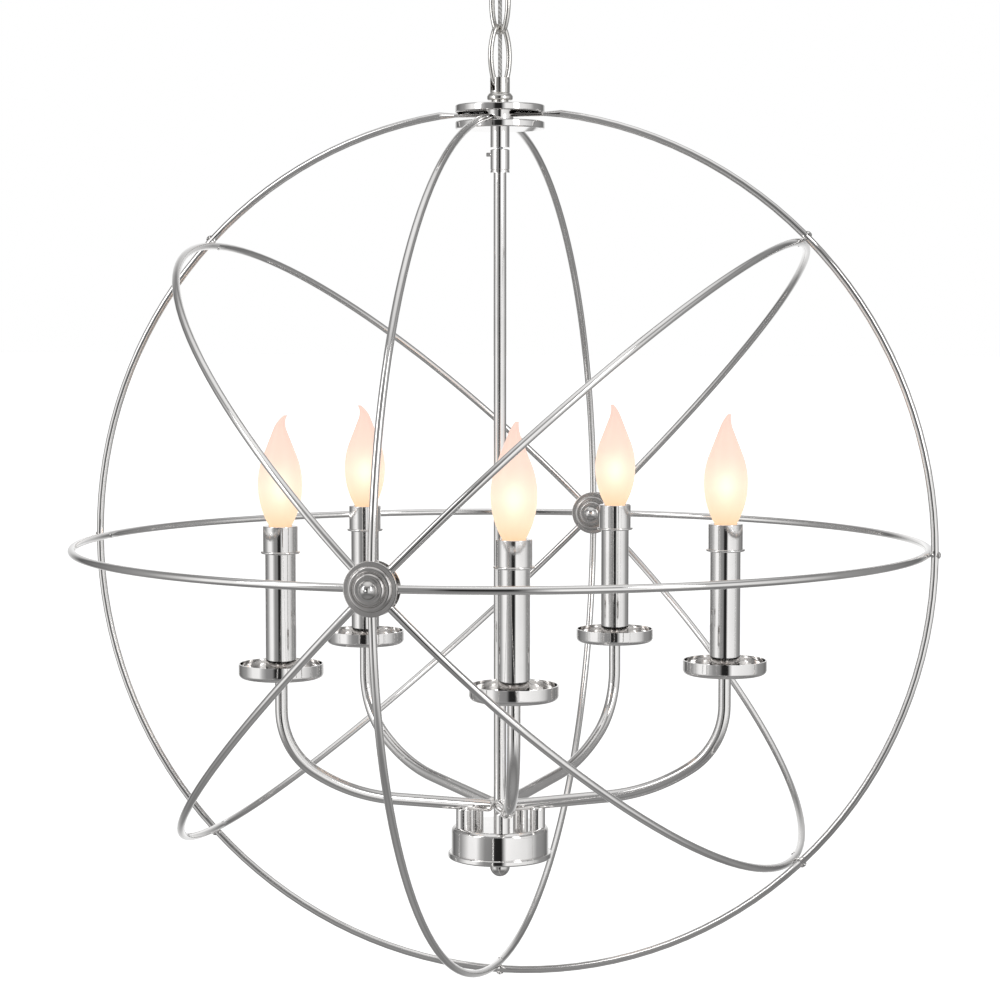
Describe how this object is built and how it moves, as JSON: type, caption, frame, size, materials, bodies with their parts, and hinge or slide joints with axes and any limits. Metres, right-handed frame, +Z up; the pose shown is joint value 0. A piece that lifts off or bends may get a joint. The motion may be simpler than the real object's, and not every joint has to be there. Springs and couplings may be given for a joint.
{
  "type": "orb chandelier",
  "caption": "Chrome orb chandelier: crossing rings round a stem with curved arms, drip dishes, candle sleeves and flame bulbs, hung on a chain from a ceiling canopy.",
  "frame": {"origin": "centre of the crossbar's slot pattern, on the ceiling plane", "axes": "+Z up, out of the crossbar's top face into the ceiling; the hub axis of the ring cage runs along Y with the front hub at -Y; +X points along the first arm"},
  "size_m": [0.651, 0.6622, 0.8411],
  "materials": {
    "polished_chrome": "polished",
    "satin_nickel": "satin",
    "zinc_steel": "zinc plated",
    "brass": "plain",
    "cord_jacket": "clear silver",
    "socket_plastic": "matte",
    "seat_nylon": "matte",
    "lamp_glass": "frosted"
  },
  "bodies": {
    "ceiling_mount": {"crossbar": "zinc_steel", "canopy_nipple": "brass", "canopy_loop": "polished_chrome", "supply_cord": "cord_jacket"},
    "canopy": {"canopy": "polished_chrome", "screw_collar": "polished_chrome"},
    "link_1": {"chain_link_1": "polished_chrome"},
    "link_2": {"chain_link_2": "polished_chrome"},
    "link_3": {"chain_link_3": "polished_chrome"},
    "cage": {"fixture_loop": "polished_chrome", "loop_pin": "polished_chrome", "loop_washer": "polished_chrome", "top_plate": "polished_chrome", "lower_plate": "polished_chrome", "top_nipple": "brass", "ring_main": "polished_chrome", "ring_vertical": "polished_chrome", "ring_level": "polished_chrome", "ring_tilt_right": "polished_chrome", "ring_tilt_left": "polished_chrome", "front_hub_caps": "satin_nickel", "back_hub_caps": "satin_nickel", "hub_studs": "zinc_steel", "hub_nuts": "polished_chrome", "crossing_screws": "polished_chrome", "swivel_socket": "polished_chrome"},
    "swivel_seat": {"swivel_seat": "seat_nylon"},
    "candelabra": {"swivel_ball": "zinc_steel", "stem_coupling": "polished_chrome", "set_screw": "polished_chrome", "stem": "polished_chrome", "arm_body": "polished_chrome", "body_cover": "polished_chrome", "bottom_finial": "polished_chrome", "stem_nut": "zinc_steel", "arm_posts": "polished_chrome", "candle_holders": "polished_chrome", "lamp_sockets": "socket_plastic", "candle_nipples": "brass", "candle_nuts": "brass", "arm_1": "polished_chrome", "arm_2": "polished_chrome", "arm_3": "polished_chrome", "arm_4": "polished_chrome", "arm_5": "polished_chrome", "drip_dish_1": "polished_chrome", "drip_dish_2": "polished_chrome", "drip_dish_3": "polished_chrome", "drip_dish_4": "polished_chrome", "drip_dish_5": "polished_chrome", "candle_sleeve_1": "polished_chrome", "candle_sleeve_2": "polished_chrome", "candle_sleeve_3": "polished_chrome", "candle_sleeve_4": "polished_chrome", "candle_sleeve_5": "polished_chrome"},
    "lamp_1": {"bulb_1": "lamp_glass"},
    "lamp_2": {"bulb_2": "lamp_glass"},
    "lamp_3": {"bulb_3": "lamp_glass"},
    "lamp_4": {"bulb_4": "lamp_glass"},
    "lamp_5": {"bulb_5": "lamp_glass"}
  },
  "joints": [
    {"name": "canopy_drop", "type": "slide", "parent": "ceiling_mount", "child": "canopy", "axis": [0, 0, -1], "range_m": [0, 0.012]},
    {"name": "chain_1_swing", "type": "hinge", "parent": "ceiling_mount", "child": "link_1", "pos_m": [0, 0, -0.05825], "axis": [-0.829, 0.5592, 0], "range_deg": [-30, 30], "deforming": ["supply_cord"]},
    {"name": "chain_2_swing", "type": "hinge", "parent": "link_1", "child": "link_2", "pos_m": [0, 0, -0.0977], "axis": [0.5592, 0.829, 0], "range_deg": [-30, 30], "deforming": ["supply_cord"]},
    {"name": "chain_3_twist", "type": "hinge", "parent": "link_2", "child": "link_3", "pos_m": [0, 0, -0.1374], "axis": [0, 0, 1], "range_deg": [-15, 15], "deforming": ["supply_cord"]},
    {"name": "cage_swing", "type": "hinge", "parent": "link_3", "child": "cage", "pos_m": [0, 0, -0.1732], "axis": [-0.829, 0.5592, 0], "range_deg": [-25, 25], "deforming": ["supply_cord"]},
    {"name": "swivel_side", "type": "hinge", "parent": "cage", "child": "swivel_seat", "pos_m": [0, 0, -0.2165], "axis": [1, 0, 0], "range_deg": [-7, 7]},
    {"name": "swivel_front", "type": "hinge", "parent": "swivel_seat", "child": "candelabra", "pos_m": [0, 0, -0.2165], "axis": [0, 1, 0], "range_deg": [-7, 7]},
    {"name": "lamp_1_out", "type": "slide", "parent": "candelabra", "child": "lamp_1", "axis": [0, 0, 1], "range_m": [0, 0.03]},
    {"name": "lamp_2_out", "type": "slide", "parent": "candelabra", "child": "lamp_2", "axis": [0, 0, 1], "range_m": [0, 0.03]},
    {"name": "lamp_3_out", "type": "slide", "parent": "candelabra", "child": "lamp_3", "axis": [0, 0, 1], "range_m": [0, 0.03]},
    {"name": "lamp_4_out", "type": "slide", "parent": "candelabra", "child": "lamp_4", "axis": [0, 0, 1], "range_m": [0, 0.03]},
    {"name": "lamp_5_out", "type": "slide", "parent": "candelabra", "child": "lamp_5", "axis": [0, 0, 1], "range_m": [0, 0.03]}
  ]
}
